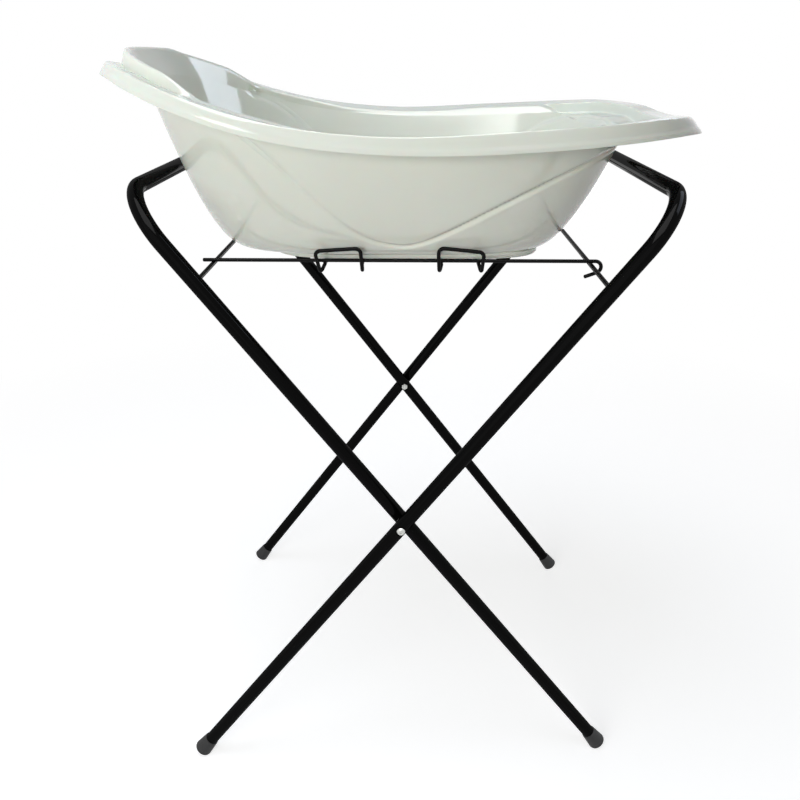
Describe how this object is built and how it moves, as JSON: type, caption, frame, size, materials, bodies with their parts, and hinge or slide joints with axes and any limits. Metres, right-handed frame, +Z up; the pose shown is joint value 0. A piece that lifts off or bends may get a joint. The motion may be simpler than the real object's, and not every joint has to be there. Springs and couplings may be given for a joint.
{
  "type": "folding baby bath stand with bath",
  "caption": "Folding cross-legged tube stand with a hinged wire rack that cradles a lift-off plastic baby bath.",
  "frame": {"origin": "on the floor, under the middle of the whole object's box", "axes": "+X from the head end of the bath to its foot end, +Y away from the front, +Z up"},
  "size_m": [0.786, 0.544, 1.0468],
  "materials": {
    "black_tube": "gloss black powder coat",
    "black_wire": "satin black powder coat",
    "black_rubber": "matte black rubber",
    "zinc": "bright zinc plate",
    "bath_plastic": "glossy off-white"
  },
  "bodies": {
    "pivot_bolts": {"pivot_bolt_near": "zinc", "pivot_nut_near": "zinc", "pivot_spacer_near": "zinc", "pivot_bolt_far": "zinc", "pivot_nut_far": "zinc", "pivot_spacer_far": "zinc"},
    "outer_frame": {"outer_frame_tube": "black_tube", "outer_foot_near": "black_rubber", "outer_foot_far": "black_rubber", "catch_wire": "black_wire"},
    "inner_frame": {"inner_frame_tube": "black_tube", "inner_foot_near": "black_rubber", "inner_foot_far": "black_rubber"},
    "rack": {"rack_axle": "black_wire", "rack_wire_near": "black_wire", "rack_wire_far": "black_wire", "rack_loop_head": "black_wire", "rack_loop_foot": "black_wire"},
    "bath": {"bath": "bath_plastic"}
  },
  "joints": [
    {"name": "outer_fold", "type": "hinge", "parent": "pivot_bolts", "child": "outer_frame", "pos_m": [-0.0045, 0, 0.442], "axis": [0, -1, 0], "range_deg": [0, 34]},
    {"name": "inner_fold", "type": "hinge", "parent": "pivot_bolts", "child": "inner_frame", "pos_m": [-0.0045, 0, 0.442], "axis": [0, 1, 0], "range_deg": [0, 34]},
    {"name": "rack_swing", "type": "hinge", "parent": "inner_frame", "child": "rack", "pos_m": [-0.2579, 0, 0.78357], "axis": [0, -1, 0], "range_deg": [0, 55.4]},
    {"name": "bath_lift", "type": "slide", "parent": "pivot_bolts", "child": "bath", "axis": [0, 0, 1], "range_m": [0, 0.63]}
  ],
  "couplings": [
    {"joint": "inner_fold", "follows": "outer_fold", "ratio": 1},
    {"joint": "rack_swing", "follows": "outer_fold", "ratio": 1.628},
    {"joint": "bath_lift", "follows": "outer_fold", "m_per_rad": 1.05}
  ]
}
